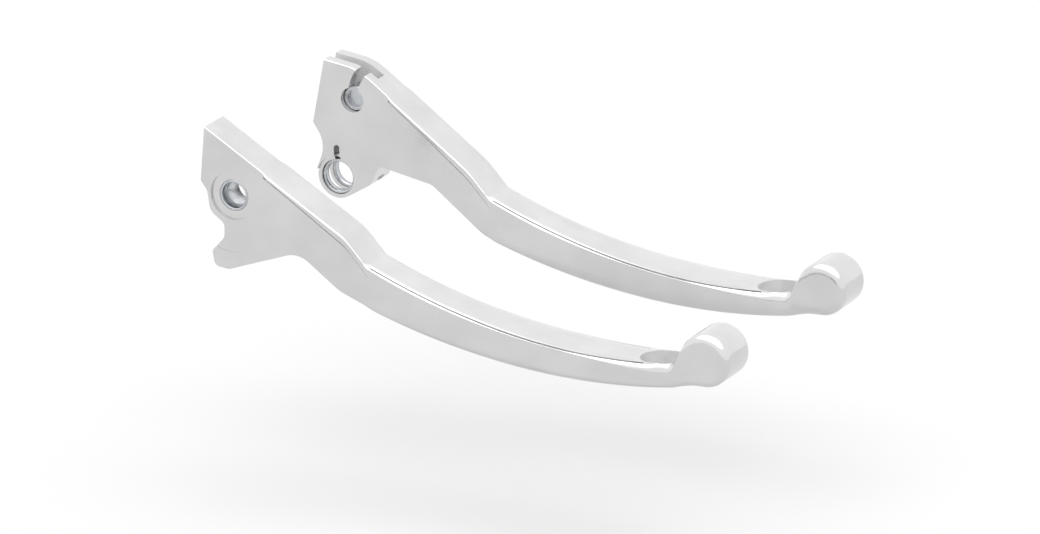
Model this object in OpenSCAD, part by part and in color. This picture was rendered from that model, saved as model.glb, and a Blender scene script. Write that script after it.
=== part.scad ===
// Pair of forged hand levers: a brake lever with a solid head and a forked cable clutch lever.
// X runs along the levers to their barrel ends, Y is the pivot direction, +Z is up.
// The origin is the centre of the brake lever's pivot.

/* [Blade] */
// Distance along X from the brake pivot to the centre of the barrel end
barrel_x = 158.7; // [132:0.1:191]
// Width of the blade where it leaves the head
blade_w = 13.5; // [12.4:0.1:16.5]
// Width of the blade beside the barrel end
tip_w = 15.6; // [13:0.1:18.7]
// Radius of the top face, seen from the side
top_r = 214; // [190:1:260]
// Distance along X from the pivot to the lowest point of the top face
top_low_x = 126; // [115:0.1:140]
// Depth of that lowest point below the pivot
top_low_z = 30.4; // [26:0.1:34]
// Radius of the belly, seen from the side
belly_r = 205; // [180:1:246]
// Distance along X from the pivot to the lowest point of the belly
belly_low_x = 113; // [105:0.1:125]
// Depth of that lowest point below the pivot
belly_low_z = 39.7; // [36.5:0.1:47]
// Width of the bevel between the top face and the flank at the barrel end
bevel_tip = 1; // [0.6:0.1:2.4]
// Radius of the barrel end
barrel_r = 8.1; // [6.8:0.1:9.8]
// Radius of the barrel's rims
rim_r = 1.6; // [0.8:0.1:2.4]
// Height of the barrel's centre above the line of the top face
barrel_lift = 1.5; // [0.5:0.1:4]
// Width of the oval hole through the blade beside the barrel
tip_hole_w = 12; // [8:0.1:12.8]
// Length of that hole
tip_hole_l = 14; // [12:0.1:17]
// Distance from that hole's centre back from the barrel's centre
tip_hole_back = 16.8; // [15:0.1:24]

/* [Head] */
// Thickness of both lever heads
head_t = 11.9; // [9.9:0.1:14.3]
// Point where the top face turns down to the blade, seen from the side
kink_high = [38.6, -7.4]; // [[38.6, -7.4]:Upper corner]
// Distance along X from the pivot to the corner where the blade's top face starts
kink_low_x = 45.6; // [44:0.1:50]
// Depth of the overhanging flange under the top face at the kink
flange_t = 2.3; // [1.4:0.1:3]
// Distance along X from the pivot to the point where the flange starts
flange_x = 10.6; // [8:0.1:20]

/* [Brake pivot] */
// Diameter of the bolt that the brake lever turns on
brake_bolt_d = 8; // [6:0.1:9]
// Clearance on the radius between a bolt and its bush
bolt_clearance = 0.05; // [0.02:0.01:0.1]
// Wall of the brake lever's steel sleeve
sleeve_wall = 0.8; // [0.6:0.05:1.2]
// Clearance on the radius between a lever and its bush, or the cable anchor
turn_clearance = 0.04; // [0.02:0.01:0.08]
// Diameter of the spot face around the brake pivot
spot_d = 15.2; // [13:0.1:16]
// Depth of every spot face
spot_depth = 0.8; // [0.4:0.1:1.2]
// Height that the sleeve stands above its spot face
sleeve_proud = 0.1; // [0:0.05:0.3]
// Radius around the pivot where the head is milled down to clear its bracket
milled_r = 17.8; // [16:0.1:19]
// Height that the hook stands above the milled face on each side
hook_step = 0.4; // [0.2:0.1:0.8]

/* [Clutch lever] */
// Clutch lever's place beside the brake lever
clutch_at = [3.5, 72.7, 0]; // [[3.5, 72.7, 0]:As laid out]
// Pivot of the clutch lever, along X and Z from its own blade's reference point
clutch_pivot = [-7.6, -16.5]; // [[-7.6, -16.5]:Lower boss]
// Diameter of the bolt that the clutch lever turns on
clutch_bolt_d = 9.5; // [8:0.1:9.8]
// Wall of the clutch lever's two bushes
bush_wall = 0.8; // [0.6:0.05:1]
// Wall of the boss around the clutch lever's bushes
boss_wall = 1.2; // [1:0.1:2]
// Depth of the bushes below the outer faces of the fork
bush_sunk = 1.5; // [0.9:0.1:1.8]
// Width of the gap between the two ears of the fork
fork_gap = 4; // [3.2:0.1:5]
// Distance along X from the reference point to the bottom of the fork
fork_end = 5; // [3:0.1:7]
// Centre of the cable anchor, along X and Z from the reference point
anchor_at = [-2, 9.5]; // [[-2, 9.5]:Upper hole]
// Diameter of the cable anchor
anchor_d = 7.8; // [7:0.1:8.6]
// Depth of the anchor's ends below the outer faces of the fork
anchor_sunk = 2; // [1:0.1:3]
// Diameter of the cable's inner wire
wire_d = 2; // [1.5:0.1:2.4]
// Diameter of the soldered nipple on the wire
nipple_d = 4.4; // [3.6:0.1:5.2]
// Width of the slot that lets the wire into the fork
slot_w = 3.4; // [2.6:0.1:4]
// Width of the narrow slit above the clutch pivot
slit_w = 2; // [1.4:0.1:2.6]
// Length of that slit above the pivot bore
slit_l = 5; // [3:0.1:6]

/* [Hidden] */
$fn = 64;

silver = "#d6d7d8";
steel = "#bcbfc3";

// Number of steps in a rounded corner of an outline
corner_steps = 8;
// Number of sections along the blade, and of points down each flank of one
blade_rings = 30;
flank_points = 8;
// Bevel at the kink, and its drop for each millimetre of width
bevel_kink = 0.5;
bevel_slope = 1.5;
// Distance past both faces that a cutting tool runs
past = 1;
// X where the blade's own sections start, inside the head
blade_from = 33;
// X where the head's flat faces have run out into the blade
head_to = 52;
// X where the blade starts to widen towards its tip
widen_from = 50;
// Length of the concave rise from the top face to the barrel
neck_l = 9;
// Cheeks of the barrel stand this far outside the blade's flanks
cheek_out = 0.1;

barrel_at = [barrel_x, top_z(barrel_x) + barrel_lift];
neck_rise = barrel_lift + barrel_r - 1;
tip_hole_x = barrel_x - tip_hole_back;
kink_low = [kink_low_x, top_z(kink_low_x)];
sleeve_in = brake_bolt_d + 2 * bolt_clearance;
sleeve_out = sleeve_in + 2 * sleeve_wall;
sleeve_l = head_t - 2 * spot_depth + 2 * sleeve_proud;
bush_in = clutch_bolt_d + 2 * bolt_clearance;
bush_out = bush_in + 2 * bush_wall;
bush_bore = bush_out + 2 * turn_clearance;
boss_r = bush_bore / 2 + boss_wall;
ear_t = (head_t - fork_gap) / 2;
bush_l = ear_t - bush_sunk;
anchor_l = head_t - 2 * anchor_sunk;

// Height of the top face's arc and of the belly's arc at a distance x from the pivot
function arc_z(x, r, low_x, low_z) = r - low_z - sqrt(r * r - (x - low_x) * (x - low_x));
function top_z(x) = arc_z(x, top_r, top_low_x, top_low_z);
function belly_z(x) = arc_z(x, belly_r, belly_low_x, belly_low_z);

// Smooth step from 0 at a to 1 at b, and the value that it mixes
function part(x, a, b) = let (t = min(1, max(0, (x - a) / (b - a)))) t * t * (3 - 2 * t);
function mix(u, v, t) = u + (v - u) * t;

// Points of one corner b, between neighbours a and c, rounded to radius r
function unit(v) = v / norm(v);
function turn(a) = a > 180 ? a - 360 : a < -180 ? a + 360 : a;
function corner(a, b, c, r) =
    r == 0 ? [b] :
    let (u = unit(a - b), v = unit(c - b), half = acos(u * v) / 2)
    let (mid = b + unit(u + v) * r / sin(half), s = b + u * r / tan(half) - mid)
    let (e = b + v * r / tan(half) - mid, from = atan2(s.y, s.x))
    let (sweep = turn(atan2(e.y, e.x) - from))
    [for (k = [0:corner_steps]) mid + r * [cos(from + sweep * k / corner_steps),
                                           sin(from + sweep * k / corner_steps)]];

// Outline through points [x, z, corner radius]
function rounded(p) = [for (i = [0:len(p) - 1])
    let (a = p[(i + len(p) - 1) % len(p)], b = p[i], c = p[(i + 1) % len(p)])
    each corner([a.x, a.y], [b.x, b.y], [c.x, c.y], b.z)];

// One section of the blade at x: flat top, bevels, and flanks that run into a round belly
function section(x) =
    let (root_w = mix(head_t, blade_w, part(x, blade_from, head_to)))
    let (w = mix(root_w, tip_w, part(x, widen_from, tip_hole_x)) / 2)
    let (top = top_z(x) + neck_rise * part(x, barrel_x - neck_l, barrel_x))
    let (b = mix(bevel_kink, bevel_tip, part(x, head_to, barrel_x)))
    let (h = top - belly_z(x) - b * bevel_slope, e = mix(0.14, 0.32, part(x, blade_from, 100)))
    let (side = [for (k = [0:flank_points]) let (a = 90 * k / flank_points)
                 [w * pow(cos(a), e), top - b * bevel_slope - h * pow(sin(a), e)]])
    [[x, b - w, top], [x, w - b, top], for (p = side) [x, p.x, p.y],
     for (k = [flank_points - 1:-1:0]) [x, -side[k].x, side[k].y]];

// Blade swept through its sections
module blade() {
    n = 2 * flank_points + 3;
    rings = [for (i = [0:blade_rings]) section(mix(blade_from, barrel_x, i / blade_rings))];
    walls = [for (i = [0:blade_rings - 1], j = [0:n - 1]) let (k = (j + 1) % n)
             [i * n + j, i * n + k, (i + 1) * n + k, (i + 1) * n + j]];
    first = [[for (j = [n - 1:-1:0]) j]];
    last = [[for (j = [0:n - 1]) blade_rings * n + j]];
    polyhedron(points = [for (r = rings, p = r) p], faces = concat(first, walls, last), convexity = 4);
}

// Flat plate with an outline in X and Z, centred on Y
module plate(outline, width) {
    rotate([90, 0, 0])
        linear_extrude(width, center = true, convexity = 6)
            polygon(outline);
}

// Round bar or drill along Y at a point in X and Z
module across(at, d, length) {
    translate([at.x, 0, at.y])
        rotate([90, 0, 0])
            cylinder(d = d, h = length, center = true);
}

// Barrel end with rounded rims, turned about Y
module barrel() {
    cheek = tip_w / 2 + cheek_out;
    translate([barrel_at.x, 0, barrel_at.y])
        rotate([90, 0, 0])
            rotate_extrude()
                polygon(rounded([[0, -cheek, 0],
                                 [barrel_r, -cheek, rim_r],
                                 [barrel_r, cheek, rim_r],
                                 [0, cheek, 0]]));
}

// Flange that overhangs the head under the top face, from a point on that face to the blade
module flange(start) {
    plate(rounded([[start.x, start.y, 0],
                   [kink_high.x, kink_high.y, 5],
                   [kink_low.x, kink_low.y, 6],
                   [head_to + 4, top_z(head_to + 4), 0],
                   [head_to + 4, top_z(head_to + 4) - flange_t, 0],
                   [kink_low.x - 0.9, kink_low.y - flange_t - 0.6, 5],
                   [kink_high.x - 0.9, kink_high.y - flange_t, 4],
                   [start.x + 0.1, start.y - 0.4, 0]]), blade_w);
}

// Part of the head's outline that both levers share, from the kink round to the belly
function shared_outline() = [
    [kink_high.x, kink_high.y, 5],
    [kink_low.x, kink_low.y, 6],
    [head_to, top_z(head_to) - 0.6, 0],
    [head_to - 8, belly_z(head_to - 8) + 2, 0]];

// Blade, barrel and flange that both levers share, with the oval hole beside the barrel
module lever_blank(outline, flange_start) {
    difference() {
        union() {
            plate(outline, head_t);
            blade();
            barrel();
            flange(flange_start);
        }
        hull()
            for (end = [-1, 1])
                translate([tip_hole_x + end * (tip_hole_l - tip_hole_w) / 2, 0, top_z(tip_hole_x)])
                    cylinder(d = tip_hole_w, h = 4 * barrel_r, center = true);
    }
}

// Place on the straight top edge between two points at a distance x
function on_edge(a, b, x) = [x, a.y + (b.y - a.y) * (x - a.x) / (b.x - a.x)];

module brake_lever() {
    top_left = [-9.1, 20.2];
    outline = rounded(concat(
        [[top_left.x, top_left.y, 0.5]],
        shared_outline(),
        [[34, belly_z(34), 4],
         [22.4, -14.6, 8],
         [-1.4, -23.5, 2.6],
         [-6.2, -23, 2.2],
         [-7, -18.2, 1.2],
         [-3, -13.6, 2.6],
         [-3, -9.2, 2.2],
         [-7.8, -6, 4.2],
         [-8.8, 0.4, 2.5],
         [-11, 3.3, 0.8]]));
    color(silver)
        difference() {
            union() {
                lever_blank(outline, on_edge(top_left, kink_high, flange_x));
                hook_pads(outline);
            }
            across([0, 0], sleeve_out + 2 * turn_clearance, head_t + 2 * past);
            for (side = [-1, 1])
                translate([0, side * (head_t / 2 - spot_depth / 2 + past / 2), 0])
                    across([0, 0], spot_d, spot_depth + past);
        }
}

// Thicker part of the hook, outside the circle that is milled around the pivot
module hook_pads(outline) {
    rotate([90, 0, 0])
        linear_extrude(head_t + 2 * hook_step, center = true, convexity = 4)
            intersection() {
                polygon(outline);
                difference() {
                    translate([-14, -30])
                        square([22, 18]);
                    circle(r = milled_r);
                }
            }
}

module brake_pivot_sleeve() {
    color(steel)
        difference() {
            across([0, 0], sleeve_out, sleeve_l);
            across([0, 0], sleeve_in, sleeve_l + 2 * past);
        }
}

module clutch_lever() {
    crown = [0.2, 19.7];
    outline = rounded(concat(
        [[-10.8, 21.4, 0.8],
         [crown.x, crown.y, 14]],
        shared_outline(),
        [[37, belly_z(37) + 0.2, 5],
         [25.8, -13.8, 4],
         [7.4, -10.6, 1.2],
         [4.2, -17.2, 2.2],
         [clutch_pivot.x + boss_r * 0.6, clutch_pivot.y - boss_r * 0.8, 0],
         [clutch_pivot.x, clutch_pivot.y, 0],
         [-14.5, -14.5, 0.4],
         [-11.4, -6, 9],
         [-15.8, 0.4, 0.6]]));
    color(silver)
        translate(clutch_at)
            difference() {
                union() {
                    lever_blank(outline, on_edge(crown, kink_high, flange_x));
                    across(clutch_pivot, 2 * boss_r, head_t - 2 * spot_depth);
                }
                fork_space();
                across(clutch_pivot, bush_bore, head_t + 2 * past);
                across(anchor_at, anchor_d + 2 * turn_clearance, head_t + 2 * past);
                for (side = [-1, 1])
                    translate([0, side * (head_t / 2 - spot_depth / 2 + past / 2), 0])
                        across(clutch_pivot, 2 * boss_r, spot_depth + past);
                wire_slot();
                pivot_slit();
            }
}

// Gap between the ears, open to the front, above and below
module fork_space() {
    reach = 40;
    translate([fork_end - reach, -fork_gap / 2, -reach])
        cube([reach, fork_gap, 2 * reach]);
}

// Curved slot in the near ear that lets the wire in from the top edge to the anchor's bore
module wire_slot() {
    bend_r = 16;
    top_angle = 46;
    translate([anchor_at.x + bend_r, -head_t / 2 - past, anchor_at.y])
        rotate([-90, 0, 0])
            rotate([0, 0, 180])
                rotate_extrude(angle = top_angle)
                    translate([bend_r - slot_w / 2, 0])
                        square([slot_w, ear_t + past + 0.1]);
}

// Narrow slit in the near ear above the pivot bore
module pivot_slit() {
    top = bush_bore / 2 + slit_l;
    translate([clutch_pivot.x - slit_w / 2, -head_t / 2 - past, clutch_pivot.y])
        cube([slit_w, ear_t + past + 0.1, top - slit_w / 2]);
    translate([clutch_pivot.x, -fork_gap / 2 - ear_t / 2 - past / 2 + 0.05, clutch_pivot.y + top - slit_w / 2])
        rotate([90, 0, 0])
            cylinder(d = slit_w, h = ear_t + past + 0.1, center = true);
}

// One bush, in the ear on the side given
module clutch_bush(side) {
    color(steel)
        translate(clutch_at + [0, side * (fork_gap + bush_l) / 2, 0])
            difference() {
                across(clutch_pivot, bush_out, bush_l);
                across(clutch_pivot, bush_in, bush_l + 2 * past);
            }
}

module clutch_bush_near() clutch_bush(-1);
module clutch_bush_far() clutch_bush(1);

module cable_anchor() {
    color(steel)
        translate(clutch_at)
            difference() {
                across(anchor_at, anchor_d, anchor_l);
                translate([anchor_at.x, 0, anchor_at.y])
                    rotate([0, 90, 0])
                        cylinder(d = wire_d + 0.4, h = anchor_d + 2 * past, center = true);
                translate([anchor_at.x + anchor_d / 2 - 3, 0, anchor_at.y])
                    rotate([0, 90, 0])
                        cylinder(d = nipple_d, h = 3 + past);
            }
}

brake_lever();
brake_pivot_sleeve();
clutch_lever();
clutch_bush_near();
clutch_bush_far();
cable_anchor();
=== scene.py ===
"""Looks for a pair of forged hand levers: a brake lever and a forked cable clutch lever.

Lengths are millimetres in a lever's own frame until place() turns them into metres in the row frame.
In that frame X runs to the barrel end, Y is across the lever, Z is up and the origin is the head's reference.
"""

import math

import bmesh
import bpy
from mathutils import Matrix, Vector


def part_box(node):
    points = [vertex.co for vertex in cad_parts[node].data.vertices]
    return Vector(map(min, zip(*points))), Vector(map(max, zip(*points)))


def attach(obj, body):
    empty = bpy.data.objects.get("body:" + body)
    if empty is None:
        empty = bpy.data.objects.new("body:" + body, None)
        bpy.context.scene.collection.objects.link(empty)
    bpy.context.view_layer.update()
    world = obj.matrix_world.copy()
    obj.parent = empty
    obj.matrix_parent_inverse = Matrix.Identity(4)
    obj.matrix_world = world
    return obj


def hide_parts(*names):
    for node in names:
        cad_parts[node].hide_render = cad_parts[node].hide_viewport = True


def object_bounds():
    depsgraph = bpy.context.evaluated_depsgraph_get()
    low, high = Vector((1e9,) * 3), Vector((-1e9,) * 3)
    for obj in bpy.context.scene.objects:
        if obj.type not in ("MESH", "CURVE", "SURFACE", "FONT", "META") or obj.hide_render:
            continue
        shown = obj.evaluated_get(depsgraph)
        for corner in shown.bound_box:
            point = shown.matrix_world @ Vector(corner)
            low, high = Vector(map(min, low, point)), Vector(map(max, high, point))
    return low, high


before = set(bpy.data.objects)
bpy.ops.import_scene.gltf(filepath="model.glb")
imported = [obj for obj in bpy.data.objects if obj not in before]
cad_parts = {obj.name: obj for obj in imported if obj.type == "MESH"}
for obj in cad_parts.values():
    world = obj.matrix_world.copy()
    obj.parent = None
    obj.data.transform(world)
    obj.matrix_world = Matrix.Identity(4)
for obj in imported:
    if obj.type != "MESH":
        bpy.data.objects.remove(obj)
cad_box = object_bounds()

MM = 0.001


def box_mm(node):
    """Lowest and highest corner of a CAD node, in millimetres."""
    low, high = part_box(node)
    return Vector(low) / MM, Vector(high) / MM


def centre_mm(node):
    """Centre of a CAD node, in millimetres."""
    low, high = box_mm(node)
    return (low + high) / 2


# Places and sizes that the frame gives
sleeve_low, sleeve_high = box_mm("brake_pivot_sleeve")
near_low, near_high = box_mm("clutch_bush_near")
far_low, far_high = box_mm("clutch_bush_far")
anchor_low, anchor_high = box_mm("cable_anchor")
BRAKE_AT = Vector((0, 0, 0))
CLUTCH_AT = Vector((3.5, (near_high.y + far_low.y) / 2, 0))
CLUTCH_PIVOT = centre_mm("clutch_bush_near") - CLUTCH_AT
ANCHOR = centre_mm("cable_anchor") - CLUTCH_AT
SLEEVE_R = (sleeve_high.x - sleeve_low.x) / 2
BUSH_R = (near_high.x - near_low.x) / 2
ANCHOR_R = (anchor_high.x - anchor_low.x) / 2

# Head
HEAD_W = 5.95  # half the thickness of a head
SPOT_DEPTH = 0.8  # depth of the round faces sunk about the pivot bores
SPOT_R = 7.6
TURN_GAP = 0.04  # play of each turning fit
SEAT_GAP = 0.03  # the sunk seat of a clutch bush is this much wider than its boss
BOSS_R = BUSH_R + TURN_GAP + 1.2
FORK_W = 2.0  # half the gap of the fork
FORK_END = 5.0
MILLED_R = 17.8  # radius of the milled round about the brake pivot, which the hook's pad stands clear of
HOOK_STEP = 0.4  # the hook's pad stands this far out where the hook's tip is
KINK_HIGH = (38.6, -7.4)
KINK_LOW_X = 45.6
BRAKE_CREST = ((-9.1, 20.2),)  # the heads' straight top edges before the kink
CLUTCH_CREST = ((-10.8, 21.1), (0.2, 19.7))
FLANGE_FROM = 9.8  # where the top edge starts to widen into a flange
FLANGE_FULL = 12.4
FLANGE_DROP = (0.9, 2.4)  # depth of the flange's edge where it starts, and at the kink
ANCHOR_DISH = 1.3  # depth of the hollow in each end of the anchor
BELOW_ALL = -70  # height that is lower than every outline
PAST = 2.0  # distance that a cutter runs past a face
THROUGH = 20.0  # reach to each side of a cutter that goes through a whole head
BUSH_WALL = 0.8

# Blade and barrel end
BLADE_W = 6.75  # half the blade's width at its root
TIP_W = 7.8
TOP_R, TOP_LOW = 214, (126, -30.4)
BELLY_R, BELLY_LOW = 205, (113, -39.7)
BLADE_FROM = 33  # from here the belly is the blade's own
HEAD_END = 46  # the head's flat sides end before this
HEAD_TO = 52  # from here the top edge is the blade's own
WIDEN_FROM = 50
BARREL_X = 158.7
BARREL_R = 8.08
RIM_R = 2.1
BARREL_LIFT = 1.5  # height of the barrel's middle above the blade's top face
CHEEK_W = 7.88
NECK_FROM, NECK_TO = BARREL_X - 13, BARREL_X - 5  # where the blade's section turns into the barrel's
NECK_REACH = 25  # the straight neck is looked for this close to the barrel
NECK_SLOPE = -0.89  # place on the barrel, as a share of its radius, where the straight neck leaves it
TIP_HOLE_X = 141.9
TIP_HOLE_W = 6.0  # half the hole's width across the blade
TIP_HOLE_L = 7.0  # half its length

# Radii over which the top's lines run into each other
CREST_BLEND, KINK_BLEND, ROOT_BLEND, NECK_BLEND = 2, 0.8, 0.5, 2.4


def part(x, a, b):
    """Smooth step from 0 at a to 1 at b."""
    t = min(1, max(0, (x - a) / (b - a)))
    return t * t * (3 - 2 * t)


def mix(u, v, t):
    return u + (v - u) * t


def soft_max(a, b, k):
    """The larger of a and b, rounded over k where they meet."""
    h = max(k - abs(a - b), 0) / k
    return max(a, b) + h * h * k / 4


def soft_min(a, b, k):
    return -soft_max(-a, -b, k)


def arc(x, r, low):
    """Height at x of an arc of radius r whose lowest point is low."""
    return low[1] + r - math.sqrt(r * r - (x - low[0]) ** 2)


def line(x, a, b):
    """Height at x of the straight line through a and b."""
    return a[1] + (b[1] - a[1]) * (x - a[0]) / (b[0] - a[0])


KINK_LOW = (KINK_LOW_X, arc(KINK_LOW_X, TOP_R, TOP_LOW))
BARREL_Z = arc(BARREL_X, TOP_R, TOP_LOW) + BARREL_LIFT


def barrel_edge(x):
    """Half the height of the barrel's round outline at x, going on as its tangent beyond the neck."""
    d = (x - BARREL_X) / BARREL_R
    if d < NECK_SLOPE:
        high = math.sqrt(1 - NECK_SLOPE * NECK_SLOPE)
        return BARREL_R * (high - (NECK_SLOPE - d) * -NECK_SLOPE / high)
    return BARREL_R * math.sqrt(max(0, 1 - d * d))


def top_line(x, crest):
    """Height of the top face at x. crest is the head's top edge before the kink, as one or two points."""
    z = line(x, crest[-1], KINK_HIGH)
    if len(crest) > 1:
        z = soft_min(z, line(x, crest[0], crest[1]), CREST_BLEND)
    z = soft_min(z, line(x, KINK_HIGH, KINK_LOW), KINK_BLEND)
    z = soft_max(z, arc(x, TOP_R, TOP_LOW), ROOT_BLEND)
    if x > BARREL_X:
        return BARREL_Z + barrel_edge(x)
    return soft_max(z, BARREL_Z + barrel_edge(x), NECK_BLEND) if x > BARREL_X - NECK_REACH else z


def low_line(x):
    """Height of the belly at x. In the head it runs far below the outline that is cut later."""
    if x > BARREL_X:
        return BARREL_Z - barrel_edge(x)
    z = arc(x, BELLY_R, BELLY_LOW)
    z = mix(z, BARREL_Z - BARREL_R, part(x, BARREL_X - 12, BARREL_X))
    return mix(BELOW_ALL, z, part(x, 8, BLADE_FROM))


# Number of steps in the parts of half a section, from the top's middle to the belly's
FLAT_STEPS, BEVEL_STEPS, FLANK_STEPS = 3, 6, 20
EDGE_STEP = 0.45  # depth of the fine step along the edge of the blade's flat top
STEP_FROM, STEP_TO = (44, 47), (BARREL_X - 20, BARREL_X - 14)  # where the step grows and fades
CRISP = (43, TIP_HOLE_X - TIP_HOLE_L - 0.5)  # between these the edges keep the section's own shape
COVE_END = (43.5, 48.5)  # where the cove under the flange runs out
EDGE_R, FLANGE_R = 0.3, 0.55  # bevels of the head's plain edge and of its flange
SHOULDER_THIN, SHOULDER_WIDE = 0.2, 1.1  # the bevel thins along the blade, then widens at its tip
THIN_SPAN, WIDE_SPAN = (60, 95), (112, BARREL_X - 14)  # where it does so
SHOULDER_DEEP, SHOULDER_CURVE = 1.5, 1.45  # depth of the blade's bevel to its width, and how it is crowned
SECTION_SQUARE, SECTION_ROUND = 0.08, 0.32  # roundness of the flank and belly in the head and along the blade
ROUND_SPAN = (24, 100)  # where it changes
COVE = (-0.05, 0.12, 0.35, 0.7, 1.15)  # depths below the flange's edge where the cove is drawn
COVE_SHADE_DEPTH = 0.6  # depth of the cove's band of painted shade
SHARP = math.radians(32)  # an edge that turns by more than this gets a bevel


def half_section(x, crest):
    """Points (y, z) of half a section at x: flat top, bevel, flange with its cove, flank and belly."""
    top, low = top_line(x, crest), low_line(x)
    flange = part(x, FLANGE_FROM, FLANGE_FULL)
    w = mix(HEAD_W, BLADE_W, flange)
    w = mix(w, TIP_W, part(x, WIDEN_FROM, TIP_HOLE_X))
    undercut = (w - HEAD_W) * (1 - part(x, *COVE_END))
    bevel = mix(EDGE_R, FLANGE_R, flange) - SHOULDER_THIN * part(x, *THIN_SPAN)
    bevel += SHOULDER_WIDE * part(x, *WIDE_SPAN)
    drop = bevel * mix(1, SHOULDER_DEEP, part(x, 44, HEAD_TO))
    curve = mix(1, SHOULDER_CURVE, part(x, 44, 60))
    step = EDGE_STEP * part(x, *STEP_FROM) * (1 - part(x, *STEP_TO))
    flat = [((w - bevel - 0.1) * k / FLAT_STEPS, top) for k in range(FLAT_STEPS + 1)]
    top -= step
    drop -= step
    flat.append((w - bevel, top))
    turned = [math.radians(90 * k / BEVEL_STEPS) for k in range(1, BEVEL_STEPS + 1)]
    corner = [(w - bevel + bevel * math.sin(a) ** curve, top - drop + drop * max(0, math.cos(a)) ** curve)
              for a in turned]
    start = top - drop
    height = start - low
    power = 2 / mix(SECTION_SQUARE, SECTION_ROUND, part(x, *ROUND_SPAN))
    edge = mix(*FLANGE_DROP, part(x, FLANGE_FROM, KINK_LOW_X))
    steps = [math.sin(math.radians(90 * k / FLANK_STEPS)) ** (2 / power) for k in range(1, FLANK_STEPS + 1)]
    depths = [max(0.004 * (k + 1), (edge + d - drop) / height) for k, d in enumerate(COVE)]
    shares = sorted(depths + [depths[-1] + (1 - depths[-1]) * s for s in steps])
    flank = []
    for s in shares:
        under = undercut * math.sqrt(part(start - s * height, top - edge, top - edge - COVE[-1]))
        flank.append((max(0, 1 - s ** power) ** (1 / power) * (w - under), start - s * height))
    return flat + corner + flank


def along(points, shares):
    """Points at shares of the length of a polyline."""
    lengths = [0]
    for p, q in zip(points, points[1:]):
        lengths.append(lengths[-1] + math.dist(p, q))
    found = []
    for share in shares:
        goal = share * lengths[-1]
        i = next((k for k in range(1, len(points)) if lengths[k] >= goal), len(points) - 1)
        t = (goal - lengths[i - 1]) / max(lengths[i] - lengths[i - 1], 1e-9)
        found.append((mix(points[i - 1][0], points[i][0], t), mix(points[i - 1][1], points[i][1], t)))
    return found


def barrel_section(x, count, top, low):
    """Half a section of the barrel: flat over its width, rounded rims and a flat cheek."""
    away = min(abs(x - BARREL_X), BARREL_R) if x > BARREL_X - BARREL_R / 2 else BARREL_R / 2
    flat_w = CHEEK_W - RIM_R
    reach = math.sqrt(BARREL_R ** 2 - away ** 2)
    quarter = [(0, reach)]
    for k in range(19):
        a = math.radians(5 * k)
        r = BARREL_R - RIM_R + RIM_R * math.cos(a)
        if r > away:
            quarter.append((flat_w + RIM_R * math.sin(a), math.sqrt(r * r - away * away)))
    quarter.append((quarter[-1][0], 0))
    upper = [k / (count // 2) for k in range(count // 2 + 1)]
    found = along(quarter, [mix(u, math.sin(math.pi / 2 * u), 0.3) for u in upper])
    half = found + [(y, -z) for y, z in reversed(found[:-1])]
    scale = max(reach, 1e-6)
    return [(y, (top + low) / 2 + z / scale * (top - low) / 2) for y, z in half]


def section(x, crest):
    shape = half_section(min(x, BARREL_X - 2), crest)
    top, low = top_line(x, crest), low_line(x)
    t = part(x, NECK_FROM, NECK_TO)
    if t == 0:
        return shape
    end = barrel_section(x, len(shape), top, low)
    if t == 1:
        return end
    return [(mix(p[0], q[0], t), mix(p[1], q[1], t)) for p, q in zip(shape, end)]


def stations():
    """Places of the sections along X: close together at the flange's start, the kink and the neck."""
    spans = ((-20, 8, 8), (8, 14, 16), (14, 36, 14), (36, 50, 56), (50, 134, 60), (134, BARREL_X, 60))
    xs = [mix(a, b, k / n) for a, b, n in spans for k in range(n)]
    cap = 26
    return xs + [BARREL_X + BARREL_R * math.sin(math.radians(90 * k / cap)) for k in range(cap + 1)]


def sweep(crest):
    """The whole lever before its outline is cut: a grid wrapped round its sections."""
    xs = stations()
    halves = [section(x, crest) for x in xs]
    around = 2 * (len(halves[0]) - 1)
    bm = bmesh.new()
    bmesh.ops.create_grid(bm, x_segments=len(xs) - 1, y_segments=around, size=1)
    for v in bm.verts:
        i = round((v.co.x + 1) / 2 * (len(xs) - 1))
        j = round((v.co.y + 1) / 2 * around)
        side = 1 if 2 * j <= around else -1
        y, z = halves[i][j if side > 0 else around - j]
        v.co = (xs[i], side * y, z)
    bmesh.ops.remove_doubles(bm, verts=bm.verts, dist=0.002)
    bmesh.ops.holes_fill(bm, edges=[e for e in bm.edges if e.is_boundary], sides=0)
    bmesh.ops.recalc_face_normals(bm, faces=bm.faces)
    return bm


def rounded(points, steps=10):
    """Outline through points (x, z, corner radius)."""
    outline = []
    for i, (x, z, r) in enumerate(points):
        b = Vector((x, z))
        if r == 0:
            outline.append(b)
            continue
        u = (Vector(points[i - 1][:2]) - b).normalized()
        v = (Vector(points[(i + 1) % len(points)][:2]) - b).normalized()
        half = u.angle(v) / 2
        mid = b + (u + v).normalized() * r / math.sin(half)
        start = b + u * r / math.tan(half) - mid
        swing = start.angle_signed(b + v * r / math.tan(half) - mid)
        outline += [mid + Matrix.Rotation(-swing * k / steps, 2) @ start for k in range(steps + 1)]
    return outline


def round_arc(at, r, first, last, steps):
    """Points (x, z, 0) on an arc about a point, between two angles in degrees."""
    angles = [math.radians(mix(first, last, k / steps)) for k in range(steps + 1)]
    return [(at[0] + r * math.cos(a), at[1] + r * math.sin(a), 0) for a in angles]


def plate(outline, low, high):
    """A flat plate with an outline in X and Z, between two places on Y."""
    bm = bmesh.new()
    face = bm.faces.new([bm.verts.new((x, low, z)) for x, z in outline])
    grown = bmesh.ops.extrude_face_region(bm, geom=[face])["geom"]
    new = [v for v in grown if isinstance(v, bmesh.types.BMVert)]
    bmesh.ops.translate(bm, verts=new, vec=(0, high - low, 0))
    bmesh.ops.recalc_face_normals(bm, faces=bm.faces)
    return bm


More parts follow.
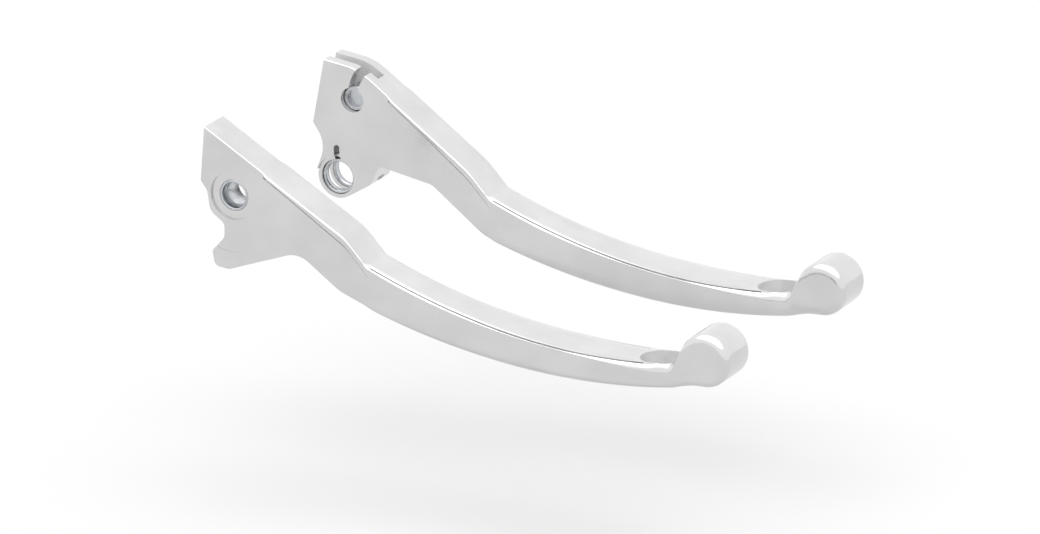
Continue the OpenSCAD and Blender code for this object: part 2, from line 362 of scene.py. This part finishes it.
def drill(x, z, r, low, high, segments=96):
    """A round cutter along Y."""
    bm = bmesh.new()
    turned = Matrix.Translation((x, (low + high) / 2, z)) @ Matrix.Rotation(math.radians(90), 4, "X")
    bmesh.ops.create_cone(bm, cap_ends=True, segments=segments, radius1=r, radius2=r,
                          depth=high - low, matrix=turned)
    return bm


def place(bm, name, at=(0, 0, 0)):
    """A finished bmesh as an object in metres, at a lever's place."""
    bmesh.ops.translate(bm, verts=bm.verts, vec=at)
    bmesh.ops.scale(bm, verts=bm.verts, vec=(MM, MM, MM))
    mesh = bpy.data.meshes.new(name)
    bm.to_mesh(mesh)
    bm.free()
    obj = bpy.data.objects.new(name, mesh)
    bpy.context.scene.collection.objects.link(obj)
    return obj


def combine(obj, bm, operation, at=(0, 0, 0)):
    """Joins, cuts or trims obj with a tool, and removes the tool."""
    tool = place(bm, "tool", at)
    change = obj.modifiers.new(operation, "BOOLEAN")
    change.operation = operation
    change.solver = "EXACT"
    change.object = tool
    bpy.context.view_layer.update()
    done = obj.evaluated_get(bpy.context.evaluated_depsgraph_get())
    mesh = bpy.data.meshes.new_from_object(done)
    obj.modifiers.clear()
    obj.data = mesh
    bpy.data.objects.remove(tool)


def clean(obj, flat_w, at):
    """Merges doubles and joins the small flat faces of the head, so that its edges bevel evenly."""
    bm = bmesh.new()
    bm.from_mesh(obj.data)
    bmesh.ops.remove_doubles(bm, verts=bm.verts, dist=0.004 * MM)
    level = [v for v in bm.verts if v.co.x < HEAD_END * MM and abs(abs(v.co.y - at.y * MM) - flat_w * MM) < 1e-6]
    inner = set(level)
    edges = [e for e in bm.edges if e.verts[0] in inner and e.verts[1] in inner]
    bmesh.ops.dissolve_limit(bm, angle_limit=math.radians(0.4), use_dissolve_boundaries=False,
                             verts=level, edges=edges)
    bm.to_mesh(obj.data)
    bm.free()


def finish_edges(obj, width, segments=3):
    """Rounds sharp edges, but for the blade's crisp step, and shades the faces smooth."""
    for p in obj.data.polygons:
        p.use_smooth = True
    bm = bmesh.new()
    bm.from_mesh(obj.data)
    weight = bm.edges.layers.float.new("bevel_weight_edge")
    for e in bm.edges:
        x = (e.verts[0].co.x + e.verts[1].co.x) / 2 / MM
        on_blade = CRISP[0] < x < CRISP[1]
        e[weight] = not on_blade and len(e.link_faces) == 2 and e.calc_face_angle() > SHARP
    bm.to_mesh(obj.data)
    bm.free()
    bevel = obj.modifiers.new("Bevel", "BEVEL")
    bevel.width = width * MM
    bevel.segments = segments
    bevel.limit_method = "WEIGHT"
    bevel.harden_normals = True
    bevel.use_clamp_overlap = True
    level = obj.modifiers.new("Weighted normals", "WEIGHTED_NORMAL")
    level.mode = "FACE_AREA_WITH_ANGLE"
    level.keep_sharp = True


def brake_lever():
    obj = place(sweep(BRAKE_CREST), "brake_lever_forging", BRAKE_AT)
    hook = rounded(round_arc((0, 0), MILLED_R, 220, 298, 32) + [(8.4, -34, 0), (-20, -34, 0)])
    pad = plate(hook, -HEAD_W, HEAD_W)
    for v in pad.verts:
        v.co.y += math.copysign(HOOK_STEP * (9 - v.co.x) / 15, v.co.y)
    combine(obj, pad, "UNION", BRAKE_AT)
    outline = rounded([
        (BRAKE_CREST[0][0], 26, 0), (60, 26, 0), (200, 0, 0), (200, -60, 0), (66, -45.5, 0),
        (22.4, -14.6, 8), (-1.4, -23.5, 2.6), (-6.2, -23, 2.2), (-7, -18.2, 1.2), (-3, -13.6, 2.6),
        (-3, -9.2, 2.2), (-7.8, -6, 4.2), (-8.8, 0.4, 2.5), (-11, 3.3, 0.8)])
    combine(obj, plate(outline, -THROUGH, THROUGH), "INTERSECT", BRAKE_AT)
    combine(obj, drill(0, 0, SLEEVE_R + TURN_GAP, -THROUGH, THROUGH), "DIFFERENCE", BRAKE_AT)
    for side in (-1, 1):
        ends = sorted((side * (HEAD_W - SPOT_DEPTH), side * (HEAD_W + PAST)))
        combine(obj, drill(0, 0, SPOT_R, *ends), "DIFFERENCE", BRAKE_AT)
    return obj


def tip_hole():
    """Cutter for the oval hole beside the barrel."""
    end = TIP_HOLE_L - TIP_HOLE_W
    oval = [(x, y) for at, first in ((end, -90), (-end, 90))
            for x, y, _ in round_arc((TIP_HOLE_X + at, 0), TIP_HOLE_W, first, first + 180, 40)]
    bm = bmesh.new()
    face = bm.faces.new([bm.verts.new((x, y, -60)) for x, y in oval])
    grown = bmesh.ops.extrude_face_region(bm, geom=[face])["geom"]
    bmesh.ops.translate(bm, verts=[v for v in grown if isinstance(v, bmesh.types.BMVert)], vec=(0, 0, 60))
    bmesh.ops.recalc_face_normals(bm, faces=bm.faces)
    return bm


def clutch_lever():
    obj = place(sweep(CLUTCH_CREST), "clutch_lever_forging", CLUTCH_AT)
    pivot = (CLUTCH_PIVOT.x, CLUTCH_PIVOT.z)
    outline = rounded([
        (-10.9, 26, 0), (60, 26, 0), (200, 0, 0), (200, -60, 0), (66, -44, 0),
        (25.8, -13.8, 4), (7.4, -10.6, 1.2), (4.2, -17.2, 2.2)]
        + round_arc(pivot, BOSS_R, -56, -195, 30)
        + [(-14.5, -14.5, 0.4), (-11.4, -6, 9), (-15.8, 0.4, 0.6)])
    combine(obj, plate(outline, -THROUGH, THROUGH), "INTERSECT", CLUTCH_AT)
    gap = rounded([(-40, -40, 0), (FORK_END, -40, 0), (FORK_END, 40, 0), (-40, 40, 0)])
    combine(obj, plate(gap, -FORK_W, FORK_W), "DIFFERENCE", CLUTCH_AT)
    combine(obj, drill(*pivot, BUSH_R + TURN_GAP, -THROUGH, THROUGH), "DIFFERENCE", CLUTCH_AT)
    combine(obj, drill(ANCHOR.x, ANCHOR.z, ANCHOR_R + TURN_GAP, -THROUGH, THROUGH), "DIFFERENCE", CLUTCH_AT)
    for side in (-1, 1):
        ends = sorted((side * (HEAD_W - SPOT_DEPTH), side * (HEAD_W + PAST)))
        combine(obj, drill(*pivot, BOSS_R + SEAT_GAP, *ends), "DIFFERENCE", CLUTCH_AT)
    bend, half_slot = 16, 1.7  # radius of the wire slot's bend, and half its width
    about = (ANCHOR.x + bend, ANCHOR.z)
    slot = rounded(round_arc(about, bend - half_slot, 180, 132, 16)
                   + round_arc(about, bend + half_slot, 132, 180, 16))
    combine(obj, plate(slot, -THROUGH, 0), "DIFFERENCE", CLUTCH_AT)
    slit_top = pivot[1] + BUSH_R + 5
    slit = rounded([(pivot[0] - 1, pivot[1], 0), (pivot[0] + 1, pivot[1], 0),
                    (pivot[0] + 1, slit_top, 0.98), (pivot[0] - 1, slit_top, 0.98)])
    combine(obj, plate(slit, -THROUGH, 0), "DIFFERENCE", CLUTCH_AT)
    return obj


def ring(name, at, r_in, r_out, low, high, chamfer=0.15):
    """A turned bush: its chamfered section is spun about Y."""
    bm = bmesh.new()
    corners = ((r_in + chamfer, low), (r_out - chamfer, low), (r_out, low + chamfer), (r_out, high - chamfer),
               (r_out - chamfer, high), (r_in + chamfer, high), (r_in, high - chamfer), (r_in, low + chamfer))
    verts = [bm.verts.new((r, y, 0)) for r, y in corners]
    edges = [bm.edges.new((verts[i - 1], verts[i])) for i in range(len(verts))]
    bmesh.ops.spin(bm, geom=verts + edges, cent=(0, 0, 0), axis=(0, 1, 0), angle=math.tau, steps=96,
                   use_merge=True)
    bmesh.ops.recalc_face_normals(bm, faces=bm.faces)
    bmesh.ops.translate(bm, verts=bm.verts, vec=(at.x, 0, at.z))
    for face in bm.faces:
        face.smooth = True
    return place(bm, name)


def hex_colour(code):
    """Linear colour from an sRGB hex value."""
    parts = [int(code[k:k + 2], 16) / 255 for k in (1, 3, 5)]
    return [c / 12.92 if c <= 0.04045 else ((c + 0.055) / 1.055) ** 2.4 for c in parts] + [1]


def add(tree, kind, links=(), sockets=(), **settings):
    """Adds a node. links are (input, node, output), sockets are (input, value), settings are properties."""
    node = tree.nodes.new(kind)
    for key, value in settings.items():
        setattr(node, key, value)
    for name, value in sockets:
        node.inputs[name].default_value = value
    for name, source, out in links:
        tree.links.new(node.inputs[name], source.outputs[out])
    return node


def material(name):
    made = bpy.data.materials.new(name)
    made.use_nodes = True
    made.node_tree.nodes.clear()
    return made, made.node_tree


def metal(name, light, dark, rough, swing, patch_mm, grain_mm, bump_mm, stretch=(1, 1, 1), bare=1.0):
    """A bare metal: two shades in soft patches, and fine lines or grains in roughness and height.

    bare is how metallic it looks, less than 1 where a matt skin scatters the light.
    """
    made, tree = material(name)
    where = add(tree, "ShaderNodeTexCoord")
    patches = add(tree, "ShaderNodeTexNoise", [("Vector", where, "Object")],
                  [("Scale", 1 / (patch_mm * MM)), ("Detail", 3.0), ("Roughness", 0.55)])
    along = add(tree, "ShaderNodeMapping", [("Vector", where, "Object")], [("Scale", stretch)])
    grains = add(tree, "ShaderNodeTexNoise", [("Vector", along, "Vector")],
                 [("Scale", 1 / (grain_mm * MM)), ("Detail", 4.0), ("Roughness", 0.6)])
    shade = add(tree, "ShaderNodeValToRGB", [("Fac", patches, "Fac")])
    shade.color_ramp.elements[0].position = 0.35
    shade.color_ramp.elements[0].color = hex_colour(dark)
    shade.color_ramp.elements[1].position = 0.65
    shade.color_ramp.elements[1].color = hex_colour(light)
    both = add(tree, "ShaderNodeMath", [(0, patches, "Fac"), (1, grains, "Fac")], operation="MULTIPLY")
    gloss = add(tree, "ShaderNodeMapRange", [("Value", both, "Value")],
                [("From Min", 0.1), ("From Max", 0.45), ("To Min", rough - swing), ("To Max", rough + swing)])
    height = add(tree, "ShaderNodeBump", [("Height", grains, "Fac")],
                 [("Strength", 0.5), ("Distance", bump_mm * MM)])
    skin = add(tree, "ShaderNodeBsdfPrincipled",
               [("Base Color", shade, "Color"), ("Roughness", gloss, "Result"), ("Normal", height, "Normal")],
               [("Metallic", bare)])
    add(tree, "ShaderNodeOutputMaterial", [("Surface", skin, "BSDF")])
    return made


# Forged aluminium, machined and barrel polished: almost white, soft mirror, faint lines along the lever
POLISHED_ALUMINIUM = metal("polished_aluminium", "#D3D2D2", "#CCCBCB", rough=0.17, swing=0.04, patch_mm=14,
                           grain_mm=0.35, bump_mm=0.004, stretch=(0.12, 1, 1))
# The same aluminium where it was sawn, milled or drilled and not polished: matt and a little paler
MILLED_ALUMINIUM = metal("milled_aluminium", "#D6D5D5", "#CACACA", rough=0.5, swing=0.06, patch_mm=6,
                         grain_mm=0.4, bump_mm=0.01, stretch=(1, 1, 0.2), bare=0.45)
# Painted shade: a dark grey put on the wall of the fine step and in the cove under the flange, where shade falls
PAINTED_SHADE_GREY = metal("aluminium_painted_shade", "#7C7C7D", "#707072", rough=0.55, swing=0.05, patch_mm=3,
                  grain_mm=0.3, bump_mm=0.004, bare=0.6)
# Mild steel, turned and zinc plated: cooler and darker grey with turning marks round the bore
ZINC_STEEL = metal("zinc_plated_steel", "#C3C5C8", "#B2B5B9", rough=0.26, swing=0.06, patch_mm=5,
                   grain_mm=0.25, bump_mm=0.01, stretch=(1, 3, 1))


def dress(obj, finish, slot_name, body, *nodes):
    """Gives a piece its finish, its body and the CAD nodes that it stands for."""
    obj.data.materials.clear()
    obj.data.materials.append(finish)
    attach(obj, body)
    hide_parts(*nodes)


def milled_walls_and_painted_shade(lever, at, crest, forked):
    """Gives the sawn and drilled walls their matt finish, and paints shade in dark grey on the fine step's wall
    and the cove under the flange.
    """
    lever.data.materials.append(MILLED_ALUMINIUM)
    lever.data.materials.append(PAINTED_SHADE_GREY)
    for p in lever.data.polygons:
        c = p.center / MM - at
        below = top_line(c.x, crest) - c.z
        on_step = STEP_FROM[1] < c.x < STEP_TO[0] and 0.03 < below < 0.8 * EDGE_STEP and abs(c.y) > 5
        edge = mix(*FLANGE_DROP, part(c.x, FLANGE_FROM, KINK_LOW_X))
        in_cove = FLANGE_FROM + 1 < c.x < 45 and 0 < below - edge < COVE_SHADE_DEPTH and abs(c.y) > HEAD_W - 0.1
        in_fork = forked and abs(c.y) < FORK_W + 0.05 and c.x < FORK_END + 0.05
        by_hole = abs(c.x - TIP_HOLE_X) < TIP_HOLE_L and abs(c.y) < TIP_HOLE_W + 0.02
        if in_fork or by_hole and abs(p.normal.z) < 0.02:
            p.material_index = 1
        # Painted shade: the fine step's wall and the cove's band get the dark grey, standing for the shade that
        # falls there
        if on_step or in_cove:
            p.material_index = 2


for body, make, at, crest in (("brake", brake_lever, BRAKE_AT, BRAKE_CREST),
                              ("clutch", clutch_lever, CLUTCH_AT, CLUTCH_CREST)):
    lever = make()
    combine(lever, tip_hole(), "DIFFERENCE", at)
    clean(lever, HEAD_W, at)
    finish_edges(lever, EDGE_R)
    dress(lever, POLISHED_ALUMINIUM, "polished_aluminium", body, body + "_lever")
    milled_walls_and_painted_shade(lever, at, crest, body == "clutch")

sleeve = ring("pivot_sleeve", centre_mm("brake_pivot_sleeve"), SLEEVE_R - BUSH_WALL, SLEEVE_R, sleeve_low.y,
              sleeve_high.y)
dress(sleeve, ZINC_STEEL, "zinc_plated_steel", "pivots", "brake_pivot_sleeve")
for name, low, high in (("clutch_bush_near", near_low, near_high), ("clutch_bush_far", far_low, far_high)):
    bush = ring(name + "_turned", centre_mm(name), BUSH_R - BUSH_WALL, BUSH_R, low.y, high.y)
    dress(bush, ZINC_STEEL, "zinc_plated_steel", "pivots", name)


def cable_anchor():
    """Barrel with chamfered ends, a cross hole for the wire and a pocket for its nipple."""
    bm = drill(ANCHOR.x, ANCHOR.z, ANCHOR_R, anchor_low.y - CLUTCH_AT.y, anchor_high.y - CLUTCH_AT.y)
    rims = [e for e in bm.edges if len(e.link_faces) == 2
            and {len(f.verts) > 4 for f in e.link_faces} == {True, False}]
    bmesh.ops.bevel(bm, geom=rims, offset=0.35, segments=2, profile=0.5, affect="EDGES", material=-1)
    obj = place(bm, "cable_anchor_barrel", CLUTCH_AT)
    for side, end in ((1, anchor_high.y), (-1, anchor_low.y)):
        face = end - CLUTCH_AT.y
        low, high = sorted((face - side * ANCHOR_DISH, face + side * PAST))
        combine(obj, drill(ANCHOR.x, ANCHOR.z, ANCHOR_R - 1.1, low, high), "DIFFERENCE", CLUTCH_AT)
    for r, start in ((1.2, -2 * ANCHOR_R), (2.2, ANCHOR_R - 3)):
        tool = bmesh.new()
        middle = Vector((ANCHOR.x + (start + 2 * ANCHOR_R) / 2, 0, ANCHOR.z))
        bmesh.ops.create_cone(tool, cap_ends=True, segments=48, radius1=r, radius2=r,
                              depth=2 * ANCHOR_R - start,
                              matrix=Matrix.Translation(middle) @ Matrix.Rotation(math.radians(90), 4, "Y"))
        combine(obj, tool, "DIFFERENCE", CLUTCH_AT)
    return obj


anchor = cable_anchor()
finish_edges(anchor, 0.12, 2)
dress(anchor, ZINC_STEEL, "zinc_plated_steel", "anchor", "cable_anchor")

# Stage: pale floor well below the levers, which their pivots hold, pale surroundings and one soft light
FLOOR_GAP = 0.045
floor_z = cad_box[0][2] - FLOOR_GAP
bm = bmesh.new()
bmesh.ops.create_grid(bm, x_segments=1, y_segments=1, size=6)
bmesh.ops.translate(bm, verts=bm.verts, vec=(0, 0, floor_z))
floor_mesh = bpy.data.meshes.new("floor")
bm.to_mesh(floor_mesh)
bm.free()
floor = bpy.data.objects.new("floor", floor_mesh)
bpy.context.scene.collection.objects.link(floor)
# Matt white paper sheet: even, without shine
paper, tree = material("matt_white_paper")
skin = add(tree, "ShaderNodeBsdfPrincipled", (), [("Base Color", hex_colour("#B7B7B7")), ("Roughness", 0.95)])
add(tree, "ShaderNodeOutputMaterial", [("Surface", skin, "BSDF")])
floor.data.materials.append(paper)

scene = bpy.context.scene
world = bpy.data.worlds.new("studio")
scene.world = world
world.use_nodes = True
world.node_tree.nodes.clear()
# Bright ceiling over paler walls, by the height of the direction
where = add(world.node_tree, "ShaderNodeTexCoord")
axes = add(world.node_tree, "ShaderNodeSeparateXYZ", [("Vector", where, "Generated")])
rise = add(world.node_tree, "ShaderNodeMapRange", [("Value", axes, "Z")],
           [("From Min", 0.6), ("From Max", 0.85), ("To Min", 1.2), ("To Max", 2.8)])
sky = add(world.node_tree, "ShaderNodeBackground", [("Strength", rise, "Result")],
          [("Color", hex_colour("#FFFFFF"))])
add(world.node_tree, "ShaderNodeOutputWorld", [("Surface", sky, "Background")])


def softbox(name, at, aim, size, power):
    lamp = bpy.data.lights.new(name, "AREA")
    lamp.shape = "DISK"
    lamp.size = size
    lamp.energy = power
    obj = bpy.data.objects.new(name, lamp)
    obj.location = at
    obj.rotation_euler = (Vector(at) - Vector(aim)).to_track_quat("Z", "Y").to_euler()
    scene.collection.objects.link(obj)


middle = (Vector(cad_box[0]) + Vector(cad_box[1])) / 2
softbox("top_softbox", (middle.x - 0.2, middle.y + 0.3, 1.2), middle, 0.9, 3)

# Camera at the height and turn that show both levers' near faces and top faces
AZIMUTH, ELEVATION = math.radians(27.363), math.radians(19.256)
lens = bpy.data.cameras.new("camera")
lens.sensor_width = 36
lens.lens = 276.92
lens.clip_end = 20
camera = bpy.data.objects.new("camera", lens)
camera.location = (1.12484, -1.99123, 0.77389)
camera.rotation_euler = (math.pi / 2 - ELEVATION, 0, AZIMUTH)
scene.collection.objects.link(camera)
scene.camera = camera
scene.view_settings.view_transform = "Standard"
